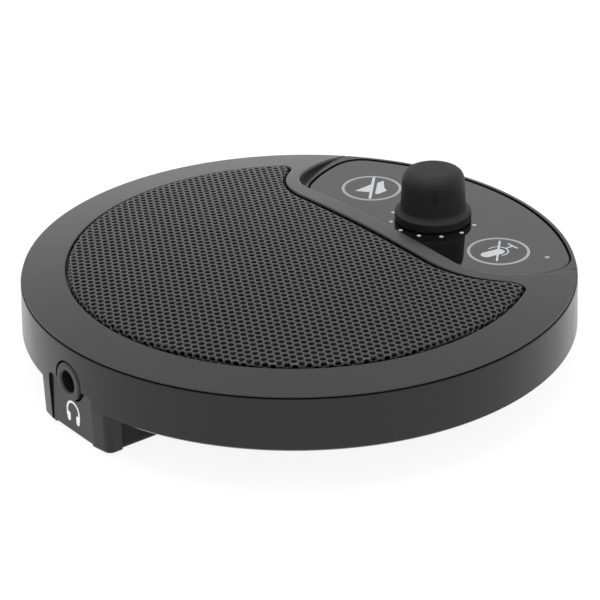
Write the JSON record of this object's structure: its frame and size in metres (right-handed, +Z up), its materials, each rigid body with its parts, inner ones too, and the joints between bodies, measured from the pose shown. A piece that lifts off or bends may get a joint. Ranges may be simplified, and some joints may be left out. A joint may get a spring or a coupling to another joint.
{
  "type": "conference speakerphone",
  "caption": "Round low speakerphone with a domed perforated grille, a flat control panel with volume knob and mute keys, and a rear heel with a headphone socket.",
  "frame": {"origin": "on the table, under the axis of the round housing (centre of the underside of the whole object)", "axes": "+Z up along the housing's axis; -Y towards the user (knob and keys), +Y towards the rear heel with the headphone socket; +X to the user's right"},
  "size_m": [0.0904, 0.0904, 0.0249],
  "materials": {
    "housing_black": "fine satin",
    "base_black": "matt",
    "grille_black": "satin powder coat",
    "cloth_black": "matt",
    "panel_black": "high gloss",
    "light_guide": "translucent",
    "knob_rubber": "soft touch",
    "foot_rubber": "matt",
    "screw_steel": "zinc plated",
    "bare_steel": "plated",
    "magnet_nickel": "nickel plated",
    "copper": "enamelled winding",
    "cone_paper": "matt",
    "soft_rubber": "soft",
    "foam": "matt",
    "board_green": "solder mask",
    "chip_black": "matt",
    "jack_black": "satin",
    "contact_brass": "gold flash",
    "led_clear": "clear",
    "switch_black": "matt",
    "ribbon_white": "film",
    "wire_red": "insulation"
  },
  "bodies": {
    "housing": {"top_cover": "housing_black", "side_housing": "housing_black", "bottom_cover": "base_black", "speaker_grille": "grille_black", "grille_cloth": "cloth_black", "control_panel": "panel_black", "speaker_mute_switch": "bare_steel", "mic_mute_switch": "bare_steel", "status_light_pipe": "light_guide", "status_led": "led_clear", "volume_potentiometer": "bare_steel", "potentiometer_bushing": "bare_steel", "control_board": "board_green", "control_board_screws": "screw_steel", "speaker_baffle": "base_black", "speaker_gasket": "foam", "speaker_basket": "bare_steel", "speaker_yoke": "magnet_nickel", "speaker_magnet": "magnet_nickel", "speaker_pole_plate": "magnet_nickel", "speaker_surround": "soft_rubber", "speaker_screws": "screw_steel", "baffle_screws": "screw_steel", "microphone_capsule": "bare_steel", "microphone_boot": "soft_rubber", "main_board": "board_green", "main_board_screws": "screw_steel", "main_board_chips": "chip_black", "usb_receptacle": "bare_steel", "jack_board": "board_green", "jack_board_screws": "screw_steel", "headphone_jack": "jack_black", "jack_contacts": "contact_brass", "control_ribbon": "ribbon_white", "jack_ribbon": "ribbon_white", "speaker_leads": "wire_red", "foot_ring": "foot_rubber", "heel_foot": "foot_rubber", "case_screws": "screw_steel"},
    "volume_control": {"volume_knob": "knob_rubber", "volume_shaft": "bare_steel"},
    "speaker_mute_button": {"speaker_mute_key": "panel_black", "speaker_mute_light_ring": "light_guide", "speaker_mute_plunger": "switch_black"},
    "mic_mute_button": {"mic_mute_key": "panel_black", "mic_mute_light_ring": "light_guide", "mic_mute_plunger": "switch_black"},
    "speaker_diaphragm": {"speaker_cone": "cone_paper", "speaker_voice_coil": "copper"}
  },
  "joints": [
    {"name": "volume_turn", "type": "hinge", "parent": "housing", "child": "volume_control", "pos_m": [0, -0.0285, 0.0157], "axis": [0, 0, 1], "range_deg": [-172.5, 67.5]},
    {"name": "speaker_mute_press", "type": "slide", "parent": "housing", "child": "speaker_mute_button", "axis": [0, 0, -1], "range_m": [0, 0.00035], "stiffness_N_per_m": 600, "springref_m": -0.0004},
    {"name": "mic_mute_press", "type": "slide", "parent": "housing", "child": "mic_mute_button", "axis": [0, 0, -1], "range_m": [0, 0.00035], "stiffness_N_per_m": 600, "springref_m": -0.0004},
    {"name": "cone_excursion", "type": "slide", "parent": "housing", "child": "speaker_diaphragm", "axis": [0, 0, 1], "range_m": [-0.0005, 0.0005], "stiffness_N_per_m": 900}
  ]
}
